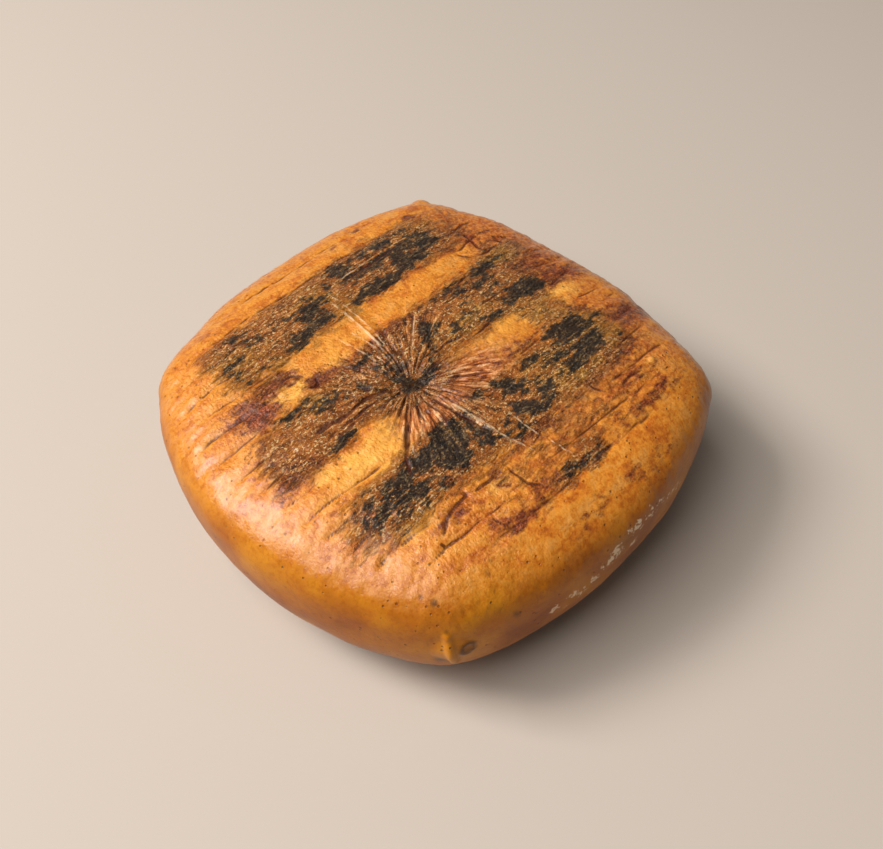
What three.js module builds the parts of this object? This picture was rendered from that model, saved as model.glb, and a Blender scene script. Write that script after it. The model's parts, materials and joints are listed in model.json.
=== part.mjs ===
// A pressed cow's milk cheese that ripened in a folded cloth: a square cushion with bulging
// sides, four soft corners, fold marks across its top and a pucker where the cloth was tied.
// It is one solid. Millimetres, +Z up, origin on the table under the middle of the cheese.
//
// The shape is worked out slice by slice, like a loaf: each slice lies across the folds, at one
// distance along Y, and is a closed loop that runs over the top and back under the base.
import * as THREE from "three";

// ---- Driving dimensions of the body ----
const HEIGHT = 71.7; // table to the top of the dome
const GIRTH_HEIGHT = 46.9; // table to the widest line round the sides
const UNDERSIDE_DEPTH = 1.1; // rounded underside over GIRTH_HEIGHT: past 1 the table flattens it
const SIDE_ROUNDNESS = 2.77; // 2 is an ellipse seen from the side, more is squarer
const CORNER_ROUNDNESS = 2.91; // the same through a corner
const CORNER_POWER = 6; // how closely a corner's own shape keeps to the corner
const EDGE_BLEND = 50; // how sharply two sides meet at a corner

// Corners seen from above, counterclockwise. lift raises the girth line at the corner, and
// bulge is how far the side that starts there stands out past the straight line to the next.
const CORNERS = [
  { x: 77.4, y: 81.9, lift: 8.6, bulge: 18.1, nub: 3.2, nubHeight: 56 },
  { x: -75.5, y: 80.8, lift: 1.7, bulge: 27.8, nub: 1.0, nubHeight: 49 },
  { x: -77.3, y: -82.0, lift: -5.5, bulge: 18.7, nub: 2.4, nubHeight: 38 },
  { x: 77.3, y: -81.1, lift: -1.5, bulge: 19.7, nub: 1.2, nubHeight: 46 },
];
const NUB_RADIUS = 9; // the small ear that a corner of the cloth leaves

// ---- Fold marks, straight lines along X ----
const FOLD_COUNT = 17;
const FIRST_FOLD = 83; // Y of the fold furthest back
const FOLD_PITCH = 11; // between the first folds
const FOLD_CLOSING = 0.07; // the pitch shrinks towards the front
const FOLD_HALF_WIDTH = 2;
const FOLD_DEPTH = 0.45; // across the top
const LEFT_NOTCH = { x: -78, reach: 20, depth: 0.55 }; // where each fold turns over the left side
const RIGHT_NOTCH = { x: 80, reach: 16, depth: 0.35 };
const FOLD_FLOOR = 47; // height on the sides where the marks have faded
const FOLD_FULL = 60; // height where they are at their deepest

// ---- Pucker, where the cloth was gathered and tied ----
const PUCKER = { x: -16.5, y: -3.5, depth: 3.2, radius: 17 };
const CREASE_COUNT = 11;
const CREASE_DEPTH = 0.75;
const CREASE_START = 7; // distance from the tie where the creases are first full
const CREASE_END = 46; // distance where they have run out

// ---- Gentle unevenness of the whole skin ----
const WAVE_DEPTH = 0.45;
const WAVE_LENGTH = 58;
const FOOT_FADE = 12; // height over which the unevenness comes in above the flat foot
const CORE_SHARE = 0.65; // every part of the skin moves to and from a core of this share of its width

// ---- How finely the solid is faceted ----
const TOP_STEPS = 42; // points over the top of a slice
const BASE_STEPS = 18; // points under it
const CROWDING = 0.58; // draws the points over the top towards its middle
const END_HEIGHTS = [0.74, 0.67, 0.6, 0.52, 0.44, 0.36, 0.28, 0.2, 0.1]; // of the last slices at each end
const LAST_PLAIN_SLICE = 83;
const CLOSEST_SLICES = 0.85;

// The circle through two corners that bulges outwards by the given amount.
function sideArc(start, end, bulge) {
  const halfChord = Math.hypot(end.x - start.x, end.y - start.y) / 2;
  const radius = (halfChord ** 2 + bulge ** 2) / (2 * bulge);
  const outX = (end.y - start.y) / (2 * halfChord);
  const outY = -(end.x - start.x) / (2 * halfChord);
  return {
    x: (start.x + end.x) / 2 + outX * (bulge - radius),
    y: (start.y + end.y) / 2 + outY * (bulge - radius),
    radius,
  };
}

const SIDES = CORNERS.map((corner, i) => sideArc(corner, CORNERS[(i + 1) % 4], corner.bulge));

// How far out a point lies, seen from above: 0 in the middle and 1 on the outline.
function outlineShare(x, y) {
  const distance2 = Math.max(x * x + y * y, 1e-9);
  let sum = 0;
  for (const side of SIDES) {
    const along = x * side.x + y * side.y;
    const room = side.radius ** 2 - side.x ** 2 - side.y ** 2;
    const reach = (along + Math.sqrt(along ** 2 + distance2 * room)) / distance2;
    sum += (1 / reach) ** EDGE_BLEND;
  }
  return sum ** (1 / EDGE_BLEND);
}

// 0 to 1: how close the direction of (x, y) is to that of a corner.
function cornerCloseness(x, y, corner) {
  const cosine = (x * corner.x + y * corner.y) / (Math.hypot(x, y) * Math.hypot(corner.x, corner.y) + 1e-9);
  return Math.max(cosine, 0) ** CORNER_POWER;
}

// Height of the widest line, which rises and falls from corner to corner.
function girthHeight(x, y, share) {
  let height = GIRTH_HEIGHT;
  for (const corner of CORNERS) {
    height += corner.lift * cornerCloseness(x, y, corner) * share ** 2;
  }
  return height;
}

function roundness(x, y) {
  const diagonal = Math.abs(Math.sin(2 * Math.atan2(y, x))) ** CORNER_POWER;
  return SIDE_ROUNDNESS + (CORNER_ROUNDNESS - SIDE_ROUNDNESS) * diagonal;
}

// The smooth body at (x, y): its upper or its lower surface, flattened by the table.
function bodyHeight(x, y, upper) {
  const share = Math.min(outlineShare(x, y), 1);
  const girth = girthHeight(x, y, share);
  const power = roundness(x, y);
  const rise = (1 - share ** power) ** (1 / power);
  if (upper) {
    return girth + rise * (HEIGHT - girth);
  }
  return Math.max(girth - rise * girth * UNDERSIDE_DEPTH, 0);
}

// 1 at the middle, falling smoothly to 0 at the given distance.
function bump(distance, reach) {
  const t = Math.min(Math.abs(distance) / reach, 1);
  return (1 - t * t) ** 2;
}

function foldLines() {
  const lines = [];
  for (let i = 0; i < FOLD_COUNT; i += 1) {
    lines.push(FIRST_FOLD - FOLD_PITCH * i + FOLD_CLOSING * i * i);
  }
  return lines;
}

const FOLDS = foldLines();

// Depth of the fold marks: shallow on top, deeper where they turn over the left and right sides.
function foldDepth(x, y, z) {
  let depth = 0;
  for (const line of FOLDS) {
    depth += bump(y - line, FOLD_HALF_WIDTH);
  }
  const notches = LEFT_NOTCH.depth * bump(x - LEFT_NOTCH.x, LEFT_NOTCH.reach)
    + RIGHT_NOTCH.depth * bump(x - RIGHT_NOTCH.x, RIGHT_NOTCH.reach);
  const fade = THREE.MathUtils.smoothstep(z, FOLD_FLOOR, FOLD_FULL);
  return depth * (FOLD_DEPTH + notches) * fade;
}

// A dimple at the tie, with creases that run out from it like spokes.
function puckerDepth(x, y) {
  const dx = x - PUCKER.x;
  const dy = y - PUCKER.y;
  const distance = Math.hypot(dx, dy);
  const dimple = PUCKER.depth * bump(distance, PUCKER.radius);
  const start = THREE.MathUtils.smoothstep(distance, 0, CREASE_START);
  const spoke = 0.5 - 0.5 * Math.cos(CREASE_COUNT * Math.atan2(dy, dx));
  return dimple + CREASE_DEPTH * spoke * start * bump(distance, CREASE_END);
}

function waves(x, y, z) {
  const turn = (2 * Math.PI) / WAVE_LENGTH;
  return WAVE_DEPTH * Math.sin(turn * x + 1.1) * Math.sin(turn * y + 0.4) * Math.cos(turn * z);
}

// The ear at each corner, which stands out from the body.
function nubHeight(x, y, z) {
  let height = 0;
  for (const corner of CORNERS) {
    const distance = Math.hypot(x - corner.x, y - corner.y, z - corner.nubHeight);
    height += corner.nub * bump(distance, NUB_RADIUS);
  }
  return height;
}

// A point of the skin: the smooth body, pressed in or raised along the line from its core.
function skinPoint(x, y, upper) {
  const z = bodyHeight(x, y, upper);
  const core = new THREE.Vector3(x * CORE_SHARE, y * CORE_SHARE, GIRTH_HEIGHT / 2);
  const outward = new THREE.Vector3(x, y, z).sub(core).normalize();
  let height = nubHeight(x, y, z) + waves(x, y, z) * THREE.MathUtils.smoothstep(z, 0, FOOT_FADE);
  if (upper) {
    height -= foldDepth(x, y, z) + puckerDepth(x, y);
  }
  if (z === 0) {
    return new THREE.Vector3(x, y, 0);
  }
  const point = new THREE.Vector3(x, y, z).addScaledVector(outward, height);
  point.z = Math.max(point.z, 0);
  return point;
}

// Where a slice at y starts or ends, found by halving between its middle and a point outside.
function sliceEnd(middle, outside, y) {
  let inner = middle;
  let outer = outside;
  for (let i = 0; i < HALVINGS; i += 1) {
    const x = (inner + outer) / 2;
    if (outlineShare(x, y) < 1) {
      inner = x;
    } else {
      outer = x;
    }
  }
  return inner;
}

// Angles round a slice: 0 at its right end, half a turn at its left end, then back underneath.
function loopAngles() {
  const angles = [];
  for (let i = 0; i < TOP_STEPS; i += 1) {
    const even = (Math.PI * i) / TOP_STEPS;
    angles.push(even - (CROWDING / 2) * Math.sin(2 * (even - Math.PI / 2)));
  }
  for (let i = 0; i < BASE_STEPS; i += 1) {
    angles.push(Math.PI + (Math.PI * i) / BASE_STEPS);
  }
  return angles;
}

const ANGLES = loopAngles();
const OUTSIDE = 2 * HEIGHT; // farther out than any side
const HALVINGS = 40;

function slice(y) {
  const middle = y > 0 ? SIDES[0].x : SIDES[2].x;
  const right = sliceEnd(middle, OUTSIDE, y);
  const left = sliceEnd(middle, -OUTSIDE, y);
  return ANGLES.map((angle) => {
    const across = Math.sign(Math.cos(angle)) * Math.abs(Math.cos(angle)) ** (2 / SIDE_ROUNDNESS);
    const x = (left + right) / 2 + (across * (right - left)) / 2;
    return skinPoint(x, y, angle < Math.PI);
  });
}

// Y of every slice: on each fold and at both its edges, closer across the pucker, and then
// crowding towards the two ends, where the body closes.
function slicePlaces(front, back) {
  const places = [];
  for (const line of FOLDS) {
    places.push(line - FOLD_HALF_WIDTH, line, line + FOLD_HALF_WIDTH);
  }
  for (let i = 1; i < FOLD_COUNT; i += 1) {
    const between = (FOLDS[i - 1] + FOLDS[i]) / 2;
    if (Math.abs(between - PUCKER.y) < CREASE_END) {
      places.push(between);
    }
  }
  const inside = places.filter((y) => y < LAST_PLAIN_SLICE && y > -LAST_PLAIN_SLICE);
  for (const height of END_HEIGHTS) {
    const share = (1 - height ** SIDE_ROUNDNESS) ** (1 / SIDE_ROUNDNESS);
    inside.push(front * share, back * share);
  }
  inside.sort((a, b) => a - b);
  return inside.filter((y, i) => i === 0 || y - inside[i - 1] > CLOSEST_SLICES);
}

// Joins the slices into one closed mesh, with a single point at each end.
function cheeseGeometry() {
  const frontSide = SIDES[2];
  const backSide = SIDES[0];
  const front = frontSide.y - frontSide.radius;
  const back = backSide.y + backSide.radius;
  const places = slicePlaces(front, back);
  const loop = ANGLES.length;
  const points = [new THREE.Vector3(frontSide.x, front, GIRTH_HEIGHT)];
  for (const y of places) {
    points.push(...slice(y));
  }
  points.push(new THREE.Vector3(backSide.x, back, GIRTH_HEIGHT));
  const faces = [];
  const last = points.length - 1;
  for (let j = 0; j < loop; j += 1) {
    const next = (j + 1) % loop;
    faces.push(0, 1 + j, 1 + next);
    for (let i = 0; i < places.length - 1; i += 1) {
      const near = 1 + i * loop;
      const far = near + loop;
      faces.push(near + j, far + next, near + next);
      faces.push(near + j, far + j, far + next);
    }
    const end = 1 + (places.length - 1) * loop;
    faces.push(last, end + next, end + j);
  }
  const geometry = new THREE.BufferGeometry();
  geometry.setAttribute("position", new THREE.Float32BufferAttribute(points.flatMap((p) => p.toArray()), 3));
  geometry.setIndex(faces);
  return geometry;
}

// Moves the body so that the origin is under the middle of its box, on the table.
function centre(geometry) {
  geometry.computeBoundingBox();
  const box = geometry.boundingBox;
  geometry.translate(-(box.min.x + box.max.x) / 2, -(box.min.y + box.max.y) / 2, -box.min.z);
  geometry.computeVertexNormals();
  return geometry;
}

function cheese() {
  const rind = new THREE.MeshStandardMaterial({ color: 0xc98438, roughness: 0.45, metalness: 0 });
  const mesh = new THREE.Mesh(centre(cheeseGeometry()), rind);
  mesh.name = "cheese";
  return mesh;
}

const model = new THREE.Group();
model.add(cheese());

export default model;
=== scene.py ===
# %% [markdown]
# # A square cow's milk cheese, dressed in its rind
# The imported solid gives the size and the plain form. This lesson makes the skin that shows:
# one fine mesh with the folds, creases, pucker and cracks of the cloth it ripened in, and one
# material for the oiled orange rind with its brown crust and dark mould. Blender works in
# metres, but a cheese is easier to think of in millimetres, so the shaping is done in
# millimetres and turned into metres at the very end.

# %% Load the frame
import json
import math

import bpy
import numpy as np
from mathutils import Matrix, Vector

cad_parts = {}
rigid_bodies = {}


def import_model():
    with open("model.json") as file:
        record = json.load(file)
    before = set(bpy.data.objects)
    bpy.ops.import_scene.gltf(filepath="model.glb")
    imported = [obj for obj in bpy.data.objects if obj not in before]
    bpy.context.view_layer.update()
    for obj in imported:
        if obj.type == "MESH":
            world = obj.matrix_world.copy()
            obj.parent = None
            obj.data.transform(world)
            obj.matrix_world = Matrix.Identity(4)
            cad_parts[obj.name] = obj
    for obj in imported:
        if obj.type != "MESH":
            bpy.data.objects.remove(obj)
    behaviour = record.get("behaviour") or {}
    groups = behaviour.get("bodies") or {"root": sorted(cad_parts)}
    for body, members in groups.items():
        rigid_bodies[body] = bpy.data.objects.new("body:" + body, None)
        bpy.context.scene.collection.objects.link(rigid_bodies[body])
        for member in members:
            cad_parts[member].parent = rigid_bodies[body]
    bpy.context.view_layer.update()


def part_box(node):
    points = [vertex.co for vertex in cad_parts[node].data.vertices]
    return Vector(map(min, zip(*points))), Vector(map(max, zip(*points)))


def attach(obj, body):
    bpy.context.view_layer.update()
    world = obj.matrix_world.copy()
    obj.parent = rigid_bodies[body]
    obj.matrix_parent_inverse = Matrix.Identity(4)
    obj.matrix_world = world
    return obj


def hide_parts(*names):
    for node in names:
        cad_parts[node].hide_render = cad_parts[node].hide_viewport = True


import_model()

MM = 0.001
scene = bpy.context.scene
cad_low, cad_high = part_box("cheese")
print("solid:", [round(size / MM, 1) for size in cad_high - cad_low], "mm")

# %% [markdown]
# ## Camera
# The picture was taken from one corner of the cheese, looking down at almost half a right
# angle. An azimuth and an elevation say where the camera stands, a distance says how far off,
# and the lens follows from how many pixels a far thing covers. Working it out this way keeps
# the perspective of the photograph, which a guess by eye would not.

# %% Camera
IMAGE_WIDTH = 883
FOCAL_PIXELS = 1054.5
SENSOR_MM = 36.0
NEAREST_SEEN = 0.01
CAMERA_AZIMUTH = math.radians(-46.8)
CAMERA_ELEVATION = math.radians(48.0)
CAMERA_DISTANCE = 430.4
AIM = (2.1, -4.8, 33.8)


def view_back(azimuth, elevation):
    """The direction from the cheese to an eye that looks along +Y at azimuth 0."""
    flat = math.cos(elevation)
    return Vector((math.sin(azimuth) * flat, -math.cos(azimuth) * flat, math.sin(elevation)))


def aim_at(thing, target):
    """Turns a camera or a lamp so that it looks at the target."""
    thing.rotation_euler = (Vector(target) - thing.location).to_track_quat("-Z", "Y").to_euler()


camera_data = bpy.data.cameras.new("camera")
camera_data.sensor_width = SENSOR_MM
camera_data.lens = FOCAL_PIXELS / IMAGE_WIDTH * SENSOR_MM
camera_data.clip_start = NEAREST_SEEN
camera = bpy.data.objects.new("camera", camera_data)
scene.collection.objects.link(camera)
aim = Vector(AIM) * MM
camera.location = aim + view_back(CAMERA_AZIMUTH, CAMERA_ELEVATION) * CAMERA_DISTANCE * MM
aim_at(camera, aim)
scene.camera = camera
print("lens:", round(camera_data.lens, 1), "mm")

# %% [markdown]
# ## Floor and light
# A rind looks oiled only when something soft and bright is mirrored in it. A window of light
# stands to the left and behind, where the left shoulder mirrors it, and a wider, softer lamp
# hangs over the back and lights the top. The sky is a weak warm grey, so the sides that face
# away stay dark. The floor is plain and pale.

# %% Floor and light
FLOOR_SIZE = 8.0
FLOOR_COLOUR = (0.50, 0.435, 0.375, 1.0)
FLOOR_ROUGHNESS = 0.8
SKY_COLOUR = (1.0, 0.96, 0.90, 1.0)
SKY_STRENGTH = 0.13
LAMP_COLOUR = (1.0, 0.97, 0.94)
LAMP_DISTANCE = 2.2
# Lamps: name, azimuth and elevation as the camera's, width in metres, power in watts.
LAMPS = [("window", -138, 46, 0.8, 46.0), ("ceiling", -104, 59, 1.6, 37.0)]


def deselect_all():
    bpy.ops.object.select_all(action="DESELECT")


deselect_all()
bpy.ops.mesh.primitive_plane_add(size=FLOOR_SIZE, location=(0, 0, 0))
floor = bpy.context.active_object
floor.name = "floor"
floor_paint = bpy.data.materials.new("floor_paint")
floor_paint.use_nodes = True
floor_shader = floor_paint.node_tree.nodes["Principled BSDF"]
floor_shader.inputs["Base Color"].default_value = FLOOR_COLOUR
floor_shader.inputs["Roughness"].default_value = FLOOR_ROUGHNESS
floor.data.materials.append(floor_paint)

for name, azimuth, elevation, width, power in LAMPS:
    light = bpy.data.lights.new(name, "AREA")
    light.size = width
    light.energy = power
    light.color = LAMP_COLOUR
    lamp = bpy.data.objects.new(name, light)
    scene.collection.objects.link(lamp)
    lamp.location = aim + view_back(math.radians(azimuth), math.radians(elevation)) * LAMP_DISTANCE
    aim_at(lamp, aim)

world = bpy.data.worlds.new("sky")
scene.world = world
world.use_nodes = True
sky = world.node_tree.nodes["Background"]
sky.inputs["Color"].default_value = SKY_COLOUR
sky.inputs["Strength"].default_value = SKY_STRENGTH
scene.view_settings.view_transform = "Standard"
print("lamps:", [lamp[0] for lamp in LAMPS])

# %% [markdown]
# ## The form of the cheese
# The young cheese is pressed in a cloth whose four corners are tied, so it is a square
# cushion: four sides that bulge, four soft corners at different heights, a flat domed top and
# a rounded base that the shelf flattens. From above, the outline is four arcs. From the side
# it is a rounded square, here a curve of a chosen power, as the solid has it.

# %% The form of the cheese
HALF_WIDTH = 80  # of the grid on the top before it is pressed, in millimetres
HEIGHT = 71.7
GIRTH_HEIGHT = 46.9
UNDERSIDE_DEPTH = 1.1
SIDE_ROUNDNESS = 2.77
CORNER_ROUNDNESS = 2.91
CORNER_POWER = 6
EDGE_BLEND = 50
# Corners counterclockwise from the back: x, y, lift of the girth, bulge of the side that
# starts there, height of the small ear and where up the corner it stands.
CORNERS = [
    (77.4, 81.9, 8.6, 18.1, 3.2, 56),
    (-75.5, 80.8, 1.7, 27.8, 1.0, 49),
    (-77.3, -82.0, -5.5, 18.7, 2.4, 38),
    (77.3, -81.1, -1.5, 19.7, 1.2, 46),
]


def side_arc(start, end):
    """Centre and radius of the arc between two corners."""
    bulge = start[3]
    chord_x, chord_y = end[0] - start[0], end[1] - start[1]
    half = math.hypot(chord_x, chord_y) / 2
    radius = (half**2 + bulge**2) / (2 * bulge)
    shift = (bulge - radius) / (2 * half)
    x = (start[0] + end[0]) / 2 + chord_y * shift
    y = (start[1] + end[1]) / 2 - chord_x * shift
    return x, y, radius


SIDES = [side_arc(corner, CORNERS[(i + 1) % 4]) for i, corner in enumerate(CORNERS)]
print("radii of the sides:", [round(side[2]) for side in SIDES], "mm")


def outline_share(x, y):
    """How far out a point lies, seen from above: 0 in the middle and 1 on the outline."""
    square = np.maximum(x**2 + y**2, 1e-9)
    total = 0
    for side_x, side_y, radius in SIDES:
        along = x * side_x + y * side_y
        room = radius**2 - side_x**2 - side_y**2
        reach = (along + np.sqrt(along**2 + square * room)) / square
        total = total + (1 / reach) ** EDGE_BLEND
    return total ** (1 / EDGE_BLEND)


def girth_height(x, y, share):
    """Height of the widest line, which rises and falls from corner to corner."""
    height = GIRTH_HEIGHT
    for corner_x, corner_y, lift, *_ in CORNERS:
        far = np.hypot(x, y) * math.hypot(corner_x, corner_y) + 1e-9
        closeness = np.maximum((x * corner_x + y * corner_y) / far, 0) ** CORNER_POWER
        height = height + lift * closeness * share**2
    return height


def press_into_form(cube):
    """Takes points on a cube from -1 to 1 to the smooth body, in millimetres."""
    x, y, level = cube[:, 0] * HALF_WIDTH, cube[:, 1] * HALF_WIDTH, np.abs(cube[:, 2])
    diagonal = np.abs(np.sin(2 * np.arctan2(y, x))) ** CORNER_POWER
    power = SIDE_ROUNDNESS + (CORNER_ROUNDNESS - SIDE_ROUNDNESS) * diagonal
    outward = outline_share(x, y)
    shrink = (outward**power + level**power) ** (-1 / power)
    girth = girth_height(x, y, np.minimum(shrink * outward, 1))
    rise = shrink * level
    above = girth + rise * (HEIGHT - girth)
    below = np.maximum(girth - rise * girth * UNDERSIDE_DEPTH, 0)
    return np.column_stack([shrink * x, shrink * y, np.where(cube[:, 2] > 0, above, below)])


# %% [markdown]
# ## A cube with enough points
# A cheese has no edge to bevel, so its skin starts as a cube whose faces are cut into small
# squares in edit mode. The level edges are cut first, which rules a grid on the top and
# strips on the sides, then the upright edges. The top and the shoulder carry most of the
# detail, so their faces are cut in three again, as are those at the knot and along the bloom.
# Round the tie, where the creases are finest, they are halved once more. The points lie
# 2.2 mm apart below, 0.74 mm on top and 0.37 mm at the tie.

# %% A cube with enough points
PUCKER = (-16.5, -3.5)
LEVEL_CUTS = 71
UPRIGHT_CUTS = 23
FINE_FROM = 0.32  # height on the cube, from -1 to 1, above which the faces are cut finer
FINEST_REACH = 27  # distance from the tie within which they are cut finest
LOW_FINE_FROM = -0.5  # height on the cube from which the knot and the bloom are cut finer too
ON_TOP = 0.99
ON_FRONT = -0.99
KNOT_FROM = -0.83  # x and y on the cube from which the knot lies
BLOOM_SPAN = (-0.52, 0.42)  # x on the cube between which the bloom lies
LEVEL = 0.01  # an edge whose ends differ less than this in height lies level

deselect_all()
bpy.ops.mesh.primitive_cube_add(size=2)
rind = bpy.context.active_object
rind.name = "rind"


def select_edges(keep):
    """In edit mode, selects the edges whose two ends pass the test."""
    bpy.ops.mesh.select_mode(type="EDGE")
    bpy.ops.mesh.select_all(action="DESELECT")
    bpy.ops.object.mode_set(mode="OBJECT")
    mesh = rind.data
    for edge in mesh.edges:
        first, second = (mesh.vertices[i].co for i in edge.vertices)
        edge.select = keep(first, second)
    bpy.ops.object.mode_set(mode="EDIT")


def near_tie(point):
    away = math.hypot(point.x * HALF_WIDTH - PUCKER[0], point.y * HALF_WIDTH - PUCKER[1])
    return point.z > ON_TOP and away < FINEST_REACH


def needs_fine_faces(point):
    """True above the widest line, at the knot on the near corner and along the front bloom."""
    knot = point.x < KNOT_FROM and point.y < KNOT_FROM
    bloom = point.y < ON_FRONT and BLOOM_SPAN[0] < point.x < BLOOM_SPAN[1]
    return point.z > FINE_FROM or point.z > LOW_FINE_FROM and (knot or bloom)


bpy.ops.object.mode_set(mode="EDIT")
select_edges(lambda first, second: abs(first.z - second.z) < LEVEL)
bpy.ops.mesh.subdivide(number_cuts=LEVEL_CUTS)
select_edges(lambda first, second: abs(first.z - second.z) > LEVEL)
bpy.ops.mesh.subdivide(number_cuts=UPRIGHT_CUTS)
select_edges(lambda first, second: needs_fine_faces(first) and needs_fine_faces(second))
bpy.ops.mesh.subdivide(number_cuts=2, ngon=False)
select_edges(lambda first, second: near_tie(first) and near_tie(second))
bpy.ops.mesh.subdivide(number_cuts=1, ngon=False)
bpy.ops.object.mode_set(mode="OBJECT")
print("cube cut into", sum(len(face.vertices) - 2 for face in rind.data.polygons), "triangles")

# %% [markdown]
# ## Pressing the cube into the cloth's form
# A sculptor would drag these points with a brush. Here a function of the place does it, so
# that every run gives the same cheese and the form is the solid's own.

# %% Press the cube into form
def points_of(thing):
    flat = np.empty(3 * len(thing.data.vertices), np.float32)
    thing.data.vertices.foreach_get("co", flat)
    return flat.reshape(-1, 3).astype(float)


def set_points(thing, points):
    thing.data.vertices.foreach_set("co", points.astype(np.float32).ravel())
    thing.data.update()


def bump(distance, reach):
    """1 at the middle, falling smoothly to 0 at the given distance."""
    t = np.minimum(np.abs(distance) / reach, 1)
    return (1 - t * t) ** 2


def smooth(value, low, high):
    """0 up to low, 1 from high on, and a smooth rise between."""
    t = np.clip((value - low) / (high - low), 0, 1)
    return t * t * (3 - 2 * t)


cube = points_of(rind)
upper = cube[:, 2] > 0
body = press_into_form(cube)
set_points(rind, body)
print("body:", np.round(body.max(0) - body.min(0), 1), "mm")

# %% [markdown]
# ## Noise to break the evenness
# Nothing on a ripened rind repeats. One small tool gives all the unevenness: a smooth noise
# on a lattice of random numbers. It is worked out from fixed seeds, so every run is the same.

# %% Noise to break the evenness
def lattice_value(cells, seed):
    """A random number from -1 to 1 for each cell of a lattice."""
    cells = cells.astype(np.int64)
    code = cells[..., 0] * 374761393 + cells[..., 1] * 668265263 + cells[..., 2] * 2147483647
    code = (code + seed * 144665) & 0xFFFFFFFF
    code = ((code ^ (code >> 13)) * 1274126177) & 0xFFFFFFFF
    return ((code ^ (code >> 16)) & 0xFFFF) / 32767.5 - 1


def noise(points, size, seed, octaves=1):
    """Smooth noise from about -1 to 1. size is its grain in millimetres, one or three numbers."""
    total = 0
    strength = 1.0
    places = points / np.asarray(size, float)
    for octave in range(octaves):
        base = np.floor(places)
        part = places - base
        part = part * part * part * (part * (part * 6 - 15) + 10)
        value = 0
        for corner in np.ndindex(2, 2, 2):
            share = 1
            for axis, step in enumerate(corner):
                share = share * (part[:, axis] if step else 1 - part[:, axis])
            value = value + share * lattice_value(base + corner, seed + octave)
        total = total + strength * value
        strength *= 0.5
        places = places * 2
    return total


# %% [markdown]
# ## Big relief: ears, waves and the tied pucker
# The gathered middle of the cloth was tied off centre, which left a dimple with creases like
# spokes, and each tied corner left a small ear. The spokes come from a noise that is read
# round a ring, so it depends on the direction from the tie and hardly on the distance. Where
# the noise crosses zero there is a sharp groove, which is just how pinched cloth looks.

# %% Big relief
NUB_RADIUS = 9
PUCKER_DEPTH = 3.2
PUCKER_RADIUS = 17
COARSE_SPOKES = (34, 11)  # how many all round, and their seed
FINE_SPOKES = (70, 17)
CREASE_DEPTH = 1.2
CREASE_END = 56
WAVE_DEPTH = 0.45
WAVE_LENGTH = 58
FOOT_FADE = 12
CORE_SHARE = 0.65


def spokes(x, y, count, seed):
    """Grooves from 0 to 1 that run out from the tie, about count of them all round."""
    dx, dy = x - PUCKER[0], y - PUCKER[1]
    distance = np.hypot(dx, dy)
    turn = np.arctan2(dy, dx)
    ring = np.column_stack([count / 3 * np.cos(turn), count / 3 * np.sin(turn), 0.03 * distance])
    return np.clip(1 - 2.6 * np.abs(noise(ring, 1.0, seed)), 0, 1) ** 1.5


def pucker_depth(x, y):
    """A dimple with creases, the fine ones only close to the tie."""
    distance = np.hypot(x - PUCKER[0], y - PUCKER[1])
    dimple = PUCKER_DEPTH * bump(distance, PUCKER_RADIUS)
    coarse = spokes(x, y, *COARSE_SPOKES) * smooth(distance, 3, 9) * bump(distance, CREASE_END)
    fine = spokes(x, y, *FINE_SPOKES) * smooth(distance, 2, 5) * bump(distance, 0.7 * CREASE_END)
    return dimple + CREASE_DEPTH * (coarse + 0.6 * fine)


def distance_to(points, place):
    return np.linalg.norm(points - np.array(place), axis=1)


def nub_height(points):
    height = 0
    for x, y, _, _, nub, nub_z in CORNERS:
        height = height + nub * bump(distance_to(points, (x, y, nub_z)), NUB_RADIUS)
    return height


def waves(x, y, z):
    turn = 2 * math.pi / WAVE_LENGTH
    return WAVE_DEPTH * np.sin(turn * x + 1.1) * np.sin(turn * y + 0.4) * np.cos(turn * z)


x, y, z = body.T
core = np.column_stack([x * CORE_SHARE, y * CORE_SHARE, np.full(len(x), GIRTH_HEIGHT / 2)])
outward = (body - core) / np.linalg.norm(body - core, axis=1)[:, None]
height = nub_height(body) + waves(x, y, z) * smooth(z, 0, FOOT_FADE)
height = height - np.where(upper, pucker_depth(x, y), 0)
height = np.where(z > 0, height, 0)
skin = body + outward * height[:, None]
middle = (skin.max(0) + skin.min(0)) / 2
skin[:, :2] -= middle[:2]
tie = np.array(PUCKER) - middle[:2]
set_points(rind, skin)
print("big relief:", np.round(height.min(), 2), "to", np.round(height.max(), 2), "mm")
print("tie at", np.round(tie, 1))

# %% [markdown]
# ## Folds, creases, seams and cracks
# Most marks are single strokes that a brush would draw. The cloth lay in folds along X, about
# a centimetre apart, and each left a thin line over the shoulder. Then there are dark creases
# pressed in by its edge, pale raised seams where it was gathered, and a dried crack or two.
# Each stroke is a short path of points on the top, from the middle of the cheese, in
# millimetres. The distance to the path gives the relief and, later, the colour.

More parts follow.
